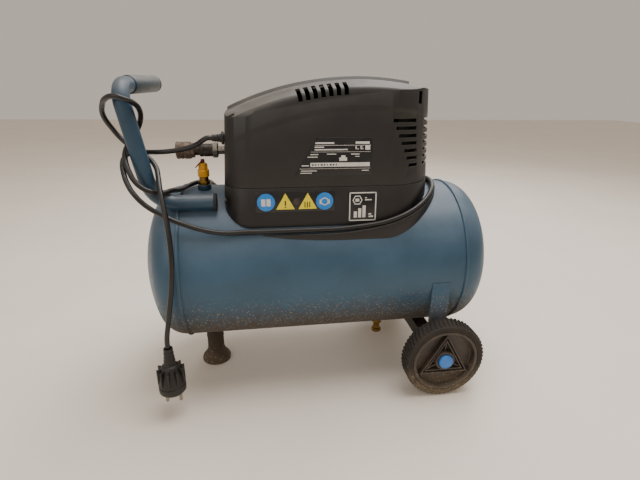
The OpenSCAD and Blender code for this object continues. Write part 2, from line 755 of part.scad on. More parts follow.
// ---------- controls on the far side ----------
ctl_z = tank_z + 190;
shaft_fit_y = 0;
face_y = shroud_w - (ctl_z - z_base) * tan(side_a);
reg_x = man_x;
gauge_x = -44;
switch_x = 16;
module controls_cut() {
  for (x = [reg_x, gauge_x, switch_x]) translate([x, 0, ctl_z]) along_y(60, 130, x == gauge_x ? 21 : 7);
}
module regulator_knob()
  color("black") home() translate([reg_x, 0, ctl_z]) {
    along_y(face_y + 1.5, face_y + 20, 16);
    along_y(block_y + gap, face_y + 2, 5);
  }
module switch_knob()
  color("firebrick") home() translate([switch_x, 0, ctl_z]) {
    along_y(face_y + 1.5, face_y + 8, 17);
    box(-3.5, 3.5, face_y + 8, face_y + 17, -16, 16);
    along_y(block_y + gap, face_y + 2, 5);
  }
module gauge_body()
  color("silver") home() translate([gauge_x, 0, ctl_z]) difference() {
    union() {
      along_y(face_y - 14, face_y + 4, 20.5);
      along_y(block_y, face_y - 12, 5);
    }
    along_y(face_y - 1, face_y + 5, 18);
  }
module gauge_needle()
  color("firebrick") home() translate([gauge_x, 0, ctl_z]) {
    along_y(face_y - 0.9, face_y + 1.6, 2);
    rotate([0, 45, 0]) box(-1, 1, face_y + 0.6, face_y + 1.4, -4, 14);
  }

// ---------- cord ----------
gland_x = -shroud_left + draft * (gland_z - z_base) / (z_high - z_base);
module cord_gland()
  color("black") home() translate([0, -48, gland_z]) {
    along_x(gland_x - 1, gland_x + 8, 6);
    along_x(gland_x - 4, gland_x - 1, 9);
    translate([gland_x - 17, 0, 0]) rotate([0, 90, 0]) cylinder(r1 = 4.7, r2 = 6.3, h = 13.1);
  }
module mains_cord() color("black") home() sweep_tube(route, cord_r, 8);
module plug_body()
  color("black") home() translate([plug_x, plug_y, 0]) {
    translate([0, 0, plug_z - 26]) cylinder(r1 = 8.5, r2 = 6, h = 26);
    translate([0, 0, plug_z - 58]) cylinder(r1 = 19, r2 = 12.5, h = 32);
    translate([0, 0, plug_z - 71]) cylinder(r = 19, h = 13);
  }
module plug_pins()
  color("silver") home() for (x = [-9.5, 9.5])
    translate([plug_x + x, plug_y, plug_z - 90]) cylinder(d = 4.8, h = 19);

tank_barrel();
tank_head_left();
tank_head_right();
weld_beads();
foot_socket();
rubber_foot();
foot_stud();
strap_near();
strap_far();
axle_beam();
axle_rod();
tyre_near();
rim_near();
cap_near();
tyre_far();
rim_far();
cap_far();
axle_spacers();
drain_boss();
drain_body();
drain_knob();
valve_boss();
valve_body();
valve_cap();
valve_ring();
handle_tube();
handle_cap();
grip_sleeve();
grip_end();
platform();
rubber_mounts();
shroud_base();
shroud_body();
shroud_cover();
rating_plate();
notice_strip();
noise_plate();
cover_screws();
motor_stator();
motor_shaft();
crank();
fan();
crankcase();
cylinder_node();  // cylinder
piston();
cylinder_head();
intake_filter();
discharge_pipe();
capacitor();
manifold();
coupler_body();
coupler_sleeve();
regulator_knob();
switch_knob();
gauge_body();
gauge_needle();
cord_gland();
mains_cord();
plug_body();
plug_pins();
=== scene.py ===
import json
import math

import bpy
from mathutils import Matrix, Vector

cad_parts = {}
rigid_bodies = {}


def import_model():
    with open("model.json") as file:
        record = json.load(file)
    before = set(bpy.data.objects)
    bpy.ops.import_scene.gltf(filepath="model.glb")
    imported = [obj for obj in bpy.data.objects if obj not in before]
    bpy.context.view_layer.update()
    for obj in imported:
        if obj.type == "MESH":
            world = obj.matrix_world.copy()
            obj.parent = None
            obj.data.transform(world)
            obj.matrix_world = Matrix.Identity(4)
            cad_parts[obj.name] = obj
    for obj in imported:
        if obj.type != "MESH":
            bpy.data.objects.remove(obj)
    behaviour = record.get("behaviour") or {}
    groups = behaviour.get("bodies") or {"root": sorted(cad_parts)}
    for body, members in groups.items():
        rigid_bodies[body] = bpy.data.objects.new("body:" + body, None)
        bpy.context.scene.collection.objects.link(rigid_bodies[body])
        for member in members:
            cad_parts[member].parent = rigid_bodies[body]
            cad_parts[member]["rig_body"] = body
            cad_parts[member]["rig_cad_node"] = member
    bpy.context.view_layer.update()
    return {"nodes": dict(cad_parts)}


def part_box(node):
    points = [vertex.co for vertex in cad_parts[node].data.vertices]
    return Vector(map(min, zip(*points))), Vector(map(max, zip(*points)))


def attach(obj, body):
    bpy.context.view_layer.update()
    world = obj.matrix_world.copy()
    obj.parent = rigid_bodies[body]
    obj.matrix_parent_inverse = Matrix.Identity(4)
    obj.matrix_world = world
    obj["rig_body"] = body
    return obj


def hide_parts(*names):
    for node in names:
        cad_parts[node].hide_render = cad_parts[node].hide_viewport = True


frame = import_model()
nodes = frame["nodes"]
MM = 0.001


def spot(node, u=0.5, v=0.5, w=0.5):
    """A point of a node's box, in millimetres, by its share along each side."""
    lo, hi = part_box(node)
    return Vector([(lo[i] + (hi[i] - lo[i]) * s) / MM for i, s in enumerate((u, v, w))])


HOME = spot("tank_barrel").x
TANK_Z = spot("tank_barrel").z
AXLE = spot("axle_rod")


# ---------------------------------------------------------------- camera
def aim_camera():
    """Where a person stands: in front of the tank, a little to the left, looking down."""
    data = bpy.data.cameras.new("camera")
    data.sensor_width = 36
    data.lens = 23.625
    camera = bpy.data.objects.new("camera", data)
    bpy.context.scene.collection.objects.link(camera)
    turn, dip, tilt = (math.radians(a) for a in (8.8, 19.87, 0.7))
    look = Vector((math.sin(turn) * math.cos(dip), math.cos(turn) * math.cos(dip), -math.sin(dip)))
    level = Vector((math.cos(turn), -math.sin(turn), 0))
    rise = level.cross(look)
    right = level * math.cos(tilt) + rise * math.sin(tilt)
    up = rise * math.cos(tilt) - level * math.sin(tilt)
    place = Matrix((right, up, -look)).transposed().to_4x4()
    place.translation = Vector((HOME - 99.3, -662.5, 459)) * MM
    camera.matrix_world = place
    bpy.context.scene.camera = camera


aim_camera()


# ---------------------------------------------------------------- finishes
def shade(hexa):
    """An sRGB hex colour turned linear."""
    parts = [int(hexa[i : i + 2], 16) / 255 for i in (1, 3, 5)]
    return (*[c / 12.92 if c <= 0.04045 else ((c + 0.055) / 1.055) ** 2.4 for c in parts], 1.0)


def add(tree, kind, inputs=None, **settings):
    """Adds a node with its settings; an input is a value or another node's socket."""
    node = tree.nodes.new(kind)
    for key, value in settings.items():
        setattr(node, key, value)
    for key, value in (inputs or {}).items():
        if isinstance(value, bpy.types.NodeSocket):
            tree.links.new(value, node.inputs[key])
        else:
            node.inputs[key].default_value = value
    return node


ROUGH_SWING = 0.1
# pale colour laid on upward faces: dust, and painted top light
DUST_AND_TOP_LIGHT = "#A39C92"


def finish(
    name, base, other, patch=40, grain=1.5, rough=0.5, relief=0.1,
    metal=0.0, mud=None, dust_and_top_light=0.0, chips=None, crease=False,
):
    """One finish. patch and grain are millimetres; mud is (colour, bottom mm, top mm, amount)."""
    material = bpy.data.materials.new(name)
    material.use_nodes = True
    tree = material.node_tree
    shader = tree.nodes["Principled BSDF"]
    place = add(tree, "ShaderNodeTexCoord").outputs["Object"]
    wide = add(tree, "ShaderNodeTexNoise",
        {"Vector": place, "Scale": 1000 / patch, "Detail": 5.0, "Roughness": 0.6})
    fine = add(tree, "ShaderNodeTexNoise", {"Vector": place, "Scale": 1000 / grain, "Detail": 3.0})
    share = add(tree, "ShaderNodeMapRange", {0: wide.outputs["Fac"], 1: 0.35, 2: 0.68})
    colour = add(tree, "ShaderNodeMix", {0: share.outputs[0], 6: shade(base), 7: shade(other)},
        data_type="RGBA").outputs[2]
    level = add(tree, "ShaderNodeMapRange",
        {0: wide.outputs["Fac"], 1: 0.3, 2: 0.7, 3: rough - ROUGH_SWING, 4: rough + ROUGH_SWING})
    level = level.outputs[0]
    bump = add(tree, "ShaderNodeBump", {"Height": fine.outputs["Fac"], "Distance": relief * MM,
        "Strength": 0.6})
    if chips:
        # scuffs and bright nicks: thin stretched noise, cut hard
        drawn = add(tree, "ShaderNodeMapping",
            {"Vector": place, "Scale": (1.0, 1.0, 3.2), "Rotation": (0.3, 0.5, 0.9)})
        nick = add(tree, "ShaderNodeTexNoise",
            {"Vector": drawn.outputs[0], "Scale": 1000 / 22, "Detail": 9.0, "Roughness": 0.72})
        cut = add(tree, "ShaderNodeMapRange", {0: nick.outputs["Fac"], 1: 0.68, 2: 0.74, 4: chips[1]})
        colour = add(tree, "ShaderNodeMix", {0: cut.outputs[0], 6: colour, 7: shade(chips[0])},
            data_type="RGBA").outputs[2]
    if dust_and_top_light:
        # dust lies on what faces up; the same pale colour on upward faces is also painted top light
        up = add(tree, "ShaderNodeSeparateXYZ", {0: add(tree, "ShaderNodeNewGeometry").outputs["Normal"]})
        lay = add(tree, "ShaderNodeMapRange", {0: up.outputs["Z"], 1: 0.1, 2: 0.95, 4: dust_and_top_light},
            interpolation_type="SMOOTHSTEP")
        veil = add(tree, "ShaderNodeMath", {0: lay.outputs[0], 1: wide.outputs["Fac"]},
            operation="MULTIPLY")
        colour = add(tree, "ShaderNodeMix", {0: veil.outputs[0], 6: colour, 7: shade(DUST_AND_TOP_LIGHT)},
            data_type="RGBA").outputs[2]
    if mud:
        tone, low, high, amount = mud
        height = add(tree, "ShaderNodeSeparateXYZ", {0: place}).outputs["Z"]
        fade = add(tree, "ShaderNodeMapRange", {0: height, 1: low * MM, 2: high * MM, 3: amount, 4: 0.0},
            interpolation_type="SMOOTHSTEP")
        spray = add(tree, "ShaderNodeTexNoise",
            {"Vector": place, "Scale": 1000 / 9, "Detail": 8.0, "Roughness": 0.75})
        sum_ = add(tree, "ShaderNodeMath", {0: fade.outputs[0], 1: spray.outputs["Fac"]}, operation="ADD")
        film = add(tree, "ShaderNodeMapRange", {0: sum_.outputs[0], 1: 0.72, 2: 1.25, 4: 0.9})
        drops = add(tree, "ShaderNodeTexVoronoi", {"Vector": place, "Scale": 1000 / 4.5, "Randomness": 1.0})
        dots = add(tree, "ShaderNodeMapRange", {0: drops.outputs["Distance"], 1: 0.26, 2: 0.16, 4: 1.0})
        thin = add(tree, "ShaderNodeMapRange", {0: sum_.outputs[0], 1: 0.62, 2: 0.95, 4: 0.75})
        dotted = add(tree, "ShaderNodeMath", {0: dots.outputs[0], 1: thin.outputs[0]}, operation="MULTIPLY")
        colour = add(tree, "ShaderNodeMix", {0: film.outputs[0], 6: colour, 7: shade(tone)},
            data_type="RGBA").outputs[2]
        colour = add(tree, "ShaderNodeMix", {0: dotted.outputs[0], 6: colour, 7: shade("#9A9182")},
            data_type="RGBA").outputs[2]
        level = add(tree, "ShaderNodeMix", {0: film.outputs[0], 2: level, 3: 0.9}).outputs[0]
        bump = add(tree, "ShaderNodeBump",
            {"Height": spray.outputs["Fac"], "Distance": 0.35 * MM, "Strength": film.outputs[0],
            "Normal": bump.outputs[0]})
    if crease:
        # the side wall steps in by 1.6 mm under a long arc, as moulded
        flat = add(tree, "ShaderNodeMapping",
            {"Vector": place, "Location": (-(HOME + 55) * MM, 0.0, -30 * MM), "Scale": (1.0, 0.0, 1.0)})
        reach = add(tree, "ShaderNodeVectorMath", {0: flat.outputs[0]}, operation="LENGTH")
        step = add(tree, "ShaderNodeMapRange", {0: reach.outputs["Value"], 1: 0.400, 2: 0.409, 4: 1.0},
            interpolation_type="SMOOTHSTEP")
        bump = add(tree, "ShaderNodeBump",
            {"Height": step.outputs[0], "Distance": 1.6 * MM, "Strength": 1.0, "Normal": bump.outputs[0]})
    tree.links.new(colour, shader.inputs["Base Color"])
    tree.links.new(level, shader.inputs["Roughness"])
    tree.links.new(bump.outputs[0], shader.inputs["Normal"])
    shader.inputs["Metallic"].default_value = metal
    return material


# powder-coated steel: even satin skin with fine orange peel, dull and muddy low down, its upward faces
# paled with dust and painted top light
tank_enamel = finish("powder_coated_steel", "#2A4A5F", "#34566E", patch=90, grain=1.6, rough=0.42,
    relief=0.05,
    mud=("#4A3F33", 68, 215, 0.95), dust_and_top_light=0.3, chips=("#7F93A0", 0.3))
# the same paint on the bar, handled clean, made a little darker as painted shade, its upward faces paled
# with dust and painted top light
shaded_bar_enamel = finish("powder_coated_bar_painted_shade", "#1F394B", "#274459", patch=60, grain=1.6, rough=0.4, relief=0.05,
    dust_and_top_light=0.45, chips=("#6F8494", 0.3))
# moulded ABS: fine spark-eroded grain, paler on top with dust and painted top light, pale scuffs
shroud_abs = finish("moulded_abs_charcoal", "#181514", "#1F1C1A", patch=70, grain=0.9, rough=0.5,
    relief=0.09,
    dust_and_top_light=0.55, chips=("#5E574E", 0.4), crease=True)
# the lower moulding of the same plastic: smoother and darker, paler on top with dust and painted top light
base_abs = finish("moulded_abs_black", "#151211", "#1B1816", patch=60, grain=1.1, rough=0.45, relief=0.07,
    dust_and_top_light=0.35, chips=("#5A5247", 0.35))
# hard rubber tread: matt, grey with dried mud in it
tread_rubber = finish("hard_rubber_tread", "#26211D", "#38312A", patch=25, grain=1.2, rough=0.85,
    relief=0.3,
    mud=("#75664F", 0, 95, 0.62), chips=("#87785F", 0.55))
# moulded polypropylene: slightly waxy, brown with dirt in its corners
rim_plastic = finish("moulded_polypropylene", "#2B2522", "#4A3E33", patch=14, grain=1.0, rough=0.5,
    relief=0.1,
    mud=("#6A5B45", 0, 110, 0.5))
# glossy blue ABS cap
cap_abs = finish("gloss_abs_blue", "#2F73C4", "#3A80CE", patch=9, grain=1.2, rough=0.35, relief=0.04,
    chips=("#86A8CC", 0.4))
# soft black rubber of the foot: dull, brown with dirt
foot_rubber = finish("soft_rubber_foot", "#2F2823", "#453A30", patch=16, grain=1.1, rough=0.85, relief=0.2,
    mud=("#6B5B47", 0, 60, 0.5))
# black rubber of the small pads
pad_rubber = finish("soft_rubber_pad", "#1C1B1B", "#262423", patch=12, grain=1.0, rough=0.8, relief=0.1)
# zinc-plated steel: grey, faintly yellow, soft shine
zinc = finish("zinc_plated_steel", "#9C9A94", "#B4B1A8", patch=10, grain=0.8, rough=0.38, relief=0.05,
    metal=1.0)
# nickel-plated steel of the thread and hexagon: bright
nickel = finish("nickel_plated_steel", "#8E887E", "#A8A196", patch=5, grain=0.7, rough=0.3, relief=0.03,
    metal=1.0)
# steel whose plating has worn: brown film with bright rubs
worn_steel = finish("worn_plated_steel", "#57483D", "#7A6A5C", patch=7, grain=0.8, rough=0.5, relief=0.12,
    metal=0.55,
    chips=("#A89A8C", 0.5))
dark_steel = finish("oiled_dark_steel", "#2E2825", "#433B36", patch=7, grain=0.8, rough=0.45, relief=0.08,
    metal=0.6)
# machined shaft steel
shaft_steel = finish("ground_shaft_steel", "#8E8E90", "#A3A3A5", patch=12, grain=0.6, rough=0.3,
    relief=0.02, metal=1.0)
# black painted strip steel under the tank
black_paint = finish("black_painted_steel", "#2A2320", "#40362E", patch=20, grain=1.4, rough=0.6,
    relief=0.1,
    mud=("#5F5140", 20, 90, 0.5))
# turned brass, tarnished
brass = finish("tarnished_brass", "#7C5E2C", "#9B7A3D", patch=6, grain=0.7, rough=0.36, relief=0.05,
    metal=1.0)
# yellow polyamide of the valve's cap
yellow_pa = finish("moulded_polyamide_yellow", "#DE9A0E", "#E8AC1E", patch=8, grain=0.9, rough=0.42,
    relief=0.05, chips=("#7A5A18", 0.4))
# dark red lacquered pull ring
red_lacquer = finish("red_lacquered_steel", "#5A1B12", "#7E2718", patch=5, grain=0.7, rough=0.4,
    relief=0.04)
# red ABS of the switch
red_abs = finish("gloss_abs_red", "#9E1F17", "#AE2A20", patch=10, grain=1.0, rough=0.35, relief=0.04)
# grey foamed grip on the bar: matt, faint pores, paler on top with dust and painted top light
grip_foam = finish("grip_vinyl_grey", "#2F3B42", "#3D4A50", patch=18, grain=0.8, rough=0.5, relief=0.08,
    dust_and_top_light=0.8)
# die-cast aluminium: pale grey with casting skin
cast_aluminium = finish("die_cast_aluminium", "#8C8D8F", "#A1A2A3", patch=15, grain=1.2, rough=0.5,
    relief=0.12, metal=1.0)
fan_nylon = finish("glass_filled_nylon", "#1B1B1C", "#252527", patch=14, grain=0.8, rough=0.55, relief=0.06)
copper = finish("drawn_copper_tube", "#9C5A3A", "#B06A48", patch=8, grain=0.8, rough=0.3, relief=0.02,
    metal=1.0)
white_can = finish("white_polypropylene_can", "#CBC9C2", "#D8D6CF", patch=12, grain=1.0, rough=0.45,
    relief=0.03)
# printed films of the plates
film_black = finish("printed_film_black", "#121213", "#1A1A1B", patch=20, grain=2.0, rough=0.28,
    relief=0.02, chips=("#5D5850", 0.35))
ink_white = finish("screen_ink_white", "#C9C7C1", "#D9D7D2", patch=9, grain=1.0, rough=0.4, relief=0.01)
ink_yellow = finish("screen_ink_yellow", "#E2CD1A", "#EBD92C", patch=9, grain=1.0, rough=0.4, relief=0.01)
ink_blue = finish("screen_ink_blue", "#1E78CC", "#2A86D8", patch=9, grain=1.0, rough=0.4, relief=0.01)
ink_black = finish("screen_ink_black", "#141414", "#1C1C1C", patch=9, grain=1.0, rough=0.4, relief=0.01)
# flexible PVC sheath and rubber plug, handled; the sheath paler on top with dust and painted top light
cord_pvc = finish("flexible_pvc_sheath", "#0E0C0B", "#161311", patch=25, grain=1.0, rough=0.36,
    relief=0.04, dust_and_top_light=0.1)
plug_pvc = finish("moulded_pvc_plug", "#15120F", "#221D19", patch=10, grain=0.9, rough=0.5, relief=0.08,
    chips=("#8A7C68", 0.5))
dial_white = finish("dial_card_white", "#D4D1C8", "#DDDAD2", patch=12, grain=1.0, rough=0.5, relief=0.01)


# ---------------------------------------------------------------- workshop
def put_down():
    """Leaves edit mode with nothing selected."""
    if bpy.context.object and bpy.context.object.mode == "EDIT":
        bpy.ops.object.mode_set(mode="OBJECT")
    bpy.ops.object.select_all(action="DESELECT")


def take(piece):
    put_down()
    piece.select_set(True)
    bpy.context.view_layer.objects.active = piece
    return piece


def pick(piece, test):
    """Edit mode with only the faces whose middle and normal pass the test."""
    take(piece)
    bpy.ops.object.mode_set(mode="EDIT")
    bpy.ops.mesh.select_mode(type="FACE")
    bpy.ops.mesh.select_all(action="DESELECT")
    bpy.ops.object.mode_set(mode="OBJECT")
    for face in piece.data.polygons:
        face.select = bool(test(face.center, face.normal))
    bpy.ops.object.mode_set(mode="EDIT")


def settle(piece, move=(0, 0, 0), turn=(0, 0, 0)):
    """Turns and moves a piece made at the origin (mm, degrees), then fixes its place in its mesh."""
    take(piece)
    piece.rotation_euler = [math.radians(a) for a in turn]
    piece.location = Vector(move) * MM
    bpy.ops.object.transform_apply(location=True, rotation=True, scale=True)
    return piece


def ease(piece, width, steps=2, angle=30):
    """A small rounding on every edge sharper than the angle."""
    take(piece)
    rounding = piece.modifiers.new("rounding", "BEVEL")
    rounding.width = width * MM
    rounding.segments = steps
    rounding.limit_method = "ANGLE"
    rounding.angle_limit = math.radians(angle)
    rounding.use_clamp_overlap = True
    bpy.ops.object.modifier_apply(modifier="rounding")
    return piece


def turned(profile, sides=64, bored=False):
    """Lathe work up +Z: a ring pulled and sized along (radius, height) steps, in mm."""
    put_down()
    first, start = profile[0]
    bpy.ops.mesh.primitive_circle_add(vertices=sides, radius=first * MM, location=(0, 0, start * MM))
    piece = bpy.context.object
    bpy.ops.object.mode_set(mode="EDIT")
    bpy.ops.mesh.select_all(action="SELECT")
    for (r0, h0), (r1, h1) in zip(profile, profile[1:]):
        bpy.ops.mesh.extrude_edges_move(TRANSFORM_OT_translate={"value": (0, 0, (h1 - h0) * MM)})
        bpy.ops.transform.resize(value=(r1 / r0, r1 / r0, 1), center_override=(0, 0, h1 * MM))
    bpy.ops.mesh.select_all(action="DESELECT")
    bpy.ops.mesh.select_mode(type="EDGE")
    bpy.ops.mesh.select_non_manifold()
    if bored:
        bpy.ops.mesh.bridge_edge_loops()
    else:
        bpy.ops.mesh.fill_holes(sides=0)
    bpy.ops.mesh.select_all(action="SELECT")
    bpy.ops.mesh.normals_make_consistent(inside=False)
    bpy.ops.object.mode_set(mode="OBJECT")
    bpy.ops.object.transform_apply(location=True, rotation=True, scale=True)
    return piece


def block(x0, x1, y0, y1, z0, z1, width=0.0, steps=2):
    """A box between two corners in mm, its edges rounded."""
    put_down()
    bpy.ops.mesh.primitive_cube_add(size=1,
        location=((x0 + x1) / 2 * MM, (y0 + y1) / 2 * MM, (z0 + z1) / 2 * MM))
    piece = bpy.context.object
    piece.scale = ((x1 - x0) * MM, (y1 - y0) * MM, (z1 - z0) * MM)
    settle(piece, (piece.location / MM)[:])
    return ease(piece, width, steps) if width else piece


def plate_of(corners, radius, thick, sides):
    """A flat many-sided plate lying in X and Z, facing -Y, in mm; corners is (x, z) of its middle."""
    put_down()
    bpy.ops.mesh.primitive_circle_add(vertices=sides, radius=radius * MM, fill_type="NGON")
    piece = bpy.context.object
    bpy.ops.object.mode_set(mode="EDIT")
    bpy.ops.mesh.select_all(action="SELECT")
    bpy.ops.mesh.extrude_region_move(TRANSFORM_OT_translate={"value": (0, 0, thick * MM)})
    bpy.ops.mesh.select_all(action="SELECT")
    bpy.ops.mesh.normals_make_consistent(inside=False)
    bpy.ops.object.mode_set(mode="OBJECT")
    return settle(piece, (corners[0], 0, corners[1]), (90, 0, 0))


def joined(pieces):
    put_down()
    for piece in pieces:
        piece.select_set(True)
    bpy.context.view_layer.objects.active = pieces[0]
    bpy.ops.object.join()
    return pieces[0]


def twin(piece):
    """A copy with its own mesh."""
    copy = piece.copy()
    copy.data = piece.data.copy()
    bpy.context.scene.collection.objects.link(copy)
    return copy


def around(piece, count, axis="Z", centre=(0, 0, 0), span=360):
    """Copies of one piece evenly round an axis, joined to it."""
    ring = [piece]
    for k in range(1, count):
        copy = take(twin(piece))
        bpy.ops.transform.rotate(value=math.radians(span * k / count), orient_axis=axis,
            center_override=[c * MM for c in centre])
        bpy.ops.object.transform_apply(location=True, rotation=True, scale=True)
        ring.append(copy)
    return joined(ring)


def done(piece, name, material, body="tank", stands_for=(), angle=32):
    """Names a finished piece, shades it and fixes it to its body."""
    take(piece)
    bpy.ops.object.transform_apply(location=True, rotation=True, scale=True)
    bpy.ops.object.shade_smooth_by_angle(angle=math.radians(angle))
    piece.name = piece.data.name = name
    piece.data.materials.clear()
    piece.data.materials.append(material)
    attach(piece, body)
    if stands_for:
        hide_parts(*stands_for)
    return piece


def worked_copy(node, width, steps=2, angle=32):
    """A copy of a CAD node, merged into clean faces, with its edges rounded."""
    put_down()
    piece = twin(nodes[node])
    piece.parent = None
    piece.matrix_world = Matrix.Identity(4)
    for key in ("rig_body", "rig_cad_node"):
        if key in piece:
            del piece[key]
    take(piece)
    bpy.ops.object.mode_set(mode="EDIT")
    bpy.ops.mesh.select_all(action="SELECT")
    bpy.ops.mesh.remove_doubles(threshold=0.00002)
    bpy.ops.mesh.dissolve_limited(angle_limit=math.radians(1))
    bpy.ops.object.mode_set(mode="OBJECT")
    if width:
        ease(piece, width, steps, angle)
    return piece


# ---------------------------------------------------------------- mains cord
CORD_R = 3.5
LIP_ARC = 356
LIP_Z = 70
LIP_SIDE = 98.3
LIP_END = (85, 99.3)


def on_lip(x, y):
    """The sheath's middle where it lies on the skirt's lip, which rises along an arc."""
    drop = math.sqrt(LIP_ARC * LIP_ARC - x * x) if x > 0 else LIP_ARC
    clear = 0.6 + (0 if x > 45 else 1.4)
    return (x, y, TANK_Z + LIP_Z + LIP_ARC - drop + CORD_R * LIP_ARC / drop + clear)


def round_end(angle):
    """The same on the half circle at the skirt's right end."""
    middle, reach = LIP_END
    a = math.radians(angle)
    return on_lip(middle + reach * math.sin(a), -reach * math.cos(a))


out_of_gland = [
    (-158.1, -48, 392), (-165, -48, 392), (-171, -47, 389), (-180, -44, 383), (-192, -42, 378),
    (-205, -40, 375), (-220, -40, 373), (-236, -39, 372), (-250, -38, 372), (-262, -41, 373),
    (-270, -49, 372), (-274, -60, 368), (-274, -72, 361), (-271, -83, 350), (-266, -91, 338),
    (-257, -97, 324), (-243, -99, 309), (-227, -99, 298), (-213, -100, 290), (-197, -100, 283),
    (-178, -101, 276), (-158, -101, 271), (-140, -101, 269), (-121, -99, 269),
]
round_shroud = (
    [on_lip(x, -LIP_SIDE) for x in (-98, -70, -42, -14, 14, 42, 70)]
    + [round_end(a) for a in range(0, 181, 18)]
    + [on_lip(x, LIP_SIDE) for x in (70, 42, 14, -14, -42, -70, -98, -124)]
)
over_bar = [
    (-150, 92, 279), (-166, 76, 294), (-174, 56, 307), (-178, 36, 314), (-184, 17, 318), (-193, 1, 319),
    (-202, -15, 318), (-207, -33, 318), (-211, -50, 320), (-217, -67, 323), (-226, -80, 323),
    (-237, -87, 326), (-248, -90, 332), (-257, -89, 341), (-264, -84, 354), (-269, -75, 367),
    (-271, -62, 377), (-267, -52, 387), (-258, -48, 400), (-249, -53, 416), (-246, -64, 430),
    (-249, -77, 439), (-257, -86, 444), (-267, -87, 447), (-279, -80, 445), (-290, -65, 436),
    (-295, -51, 421), (-289, -42, 404), (-280, -41, 391), (-265, -47, 379), (-247, -52, 368),
    (-234, -65, 356), (-229, -80, 343), (-226, -93, 331), (-221, -107, 311), (-216, -120, 284),
    (-214, -128, 252), (-216, -132, 218), (-221, -134, 185), (-227, -136, 152), (-231, -137, 126),
    (-231, -137, 115.5),
]
cord_route = [Vector((x + HOME, y, z)) * MM for x, y, z in out_of_gland + round_shroud + over_bar]
line = bpy.data.curves.new("mains_cord_sheath", "CURVE")
line.dimensions = "3D"
strand = line.splines.new("BEZIER")
strand.bezier_points.add(len(cord_route) - 1)
for point, place in zip(strand.bezier_points, cord_route):
    point.co = place
    point.handle_left_type = point.handle_right_type = "AUTO"
strand.resolution_u = 5
line.bevel_depth = CORD_R * MM
line.bevel_resolution = 4
line.use_fill_caps = True
sheath = bpy.data.objects.new("mains_cord_sheath", line)
bpy.context.scene.collection.objects.link(sheath)
line.materials.append(cord_pvc)
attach(sheath, "tank")
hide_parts("mains_cord")

# plug: tapered ribbed neck, round body with a waist, all hanging on the cord
PLUG = Vector((HOME - 231, -137, 0))
neck = turned([(4.6, 115.4), (6.2, 115.4), (6.6, 112), (5.6, 111), (7, 108), (7, 106), (5.8, 105),
    (7.4, 102), (7.5, 100), (6.2, 99),
    (8, 96), (8, 94), (6.8, 93), (8.6, 90), (8.8, 88.2), (4.6, 88.2)], 32, bored=True)
shell = turned([(9, 89), (10.6, 88), (12.4, 86), (13.2, 80), (15.6, 72), (17.6, 64), (18.7, 60.5),
    (18.9, 57.5),
    (17.9, 56.8), (17.9, 55.6), (18.9, 55), (19, 50), (18.6, 46.2), (17.4, 44.7), (15, 44.6)],
    48)
ridge = block(-1.1, 1.1, -19.1, -13, 60, 84, 0.5)
pick(ridge, lambda c, n: n.z > 0.9)
bpy.ops.transform.translate(value=(0, 6.6 * MM, 0))
ridges = around(ridge, 10)
plug = done(settle(joined([neck, shell, ridges]), PLUG), "mains_plug_body", plug_pvc, "tank",
    ["plug_body"], 40)
pin = turned([(1.6, 25.5), (2.2, 26), (2.4, 27.4), (2.4, 44.4)], 20)
other = settle(twin(pin), (9.5, 0, 0))
pins = done(settle(joined([settle(pin, (-9.5, 0, 0)), other]), PLUG), "mains_plug_pins", nickel, "tank",
    ["plug_pins"])
# tapered strain relief out of the shroud's end
GLAND = Vector((HOME - 141.1, -48, 392))
relief = turned([(3.55, 17), (4.7, 17), (4.9, 15.6), (4.5, 15), (4.5, 14), (5.1, 13.4), (5.2, 12.2),
    (4.8, 11.6), (4.8, 10.6),
    (5.5, 10), (5.6, 8.8), (5.1, 8.2), (5.1, 7.2), (5.9, 6.6), (6.1, 4.4), (8.4, 4.2),
    (9, 3.6), (9, 1.2),
    (6, 1), (6, -7.8), (3.55, -7.8)], 32, bored=True)
gland = done(settle(relief, GLAND, (0, -90, 0)), "cord_strain_relief", plug_pvc, "tank", ["cord_gland"],
    40)

# ---------------------------------------------------------------- wheels


def wheel_pair(piece, name, material, part):
    """Stands a wheel part on its axle, outer face to -Y, and its twin on the far side."""
    near = settle(piece, (AXLE.x, spot("tyre_near", v=1).y, AXLE.z), (90, 0, 0))
    far = take(twin(near))
    bpy.ops.transform.rotate(value=math.pi, orient_axis="Z", center_override=(AXLE.x * MM, 0, 0))
    done(near, name + "_near_side", material, "wheel_near", [part + "_near"])
    done(far, name + "_far_side", material, "wheel_far", [part + "_far"])


# tyre: 58 slanted lugs on a round-shouldered ring; +Z here is the outer face
ring = turned([(52.5, 0.3), (57, 0), (60, 0.5), (61.2, 2), (61.8, 4), (61.8, 24), (61.2, 26), (60, 27.5),
    (57.2, 28), (56.6, 27.5),
    (55.6, 27.5), (55, 28), (53.4, 27.8), (52.5, 27.2)], 116, bored=True)
lug = block(60.6, 63.45, -1.75, 1.75, 2.2, 25.8)
pick(lug, lambda c, n: n.x > 0.9)
bpy.ops.transform.resize(value=(1, 0.78, 0.93), center_override=(63.45 * MM, 0, 14 * MM))
bpy.ops.object.mode_set(mode="OBJECT")
ease(lug, 0.5, 2)
take(lug)
bpy.ops.transform.rotate(value=math.radians(14), orient_axis="X", center_override=(0, 0, 14 * MM))
lugs = around(lug, 58)
wheel_pair(joined([ring, lugs]), "tyre_lugged", tread_rubber, "tyre")

# rim: bright-worn ring, sunk disc, two raised triangles and a hub boss
bowl = turned([(6.15, 1), (16, 1), (17, 2.5), (18, 10.5), (45, 10.5), (46.6, 9), (47.4, 1.4), (52.2, 1),
    (52.4, 14), (52.4, 26.2), (51.6, 27.6),
    (49.2, 28), (47.4, 27.6), (46.4, 26), (45.4, 18.6), (43.6, 17), (17.6, 17), (16.4, 18),
    (15.6, 25.6), (15, 26.6),
    (12.4, 26.8), (11.4, 26.2), (11.2, 24.6), (6.15, 24.6)], 72, bored=True)


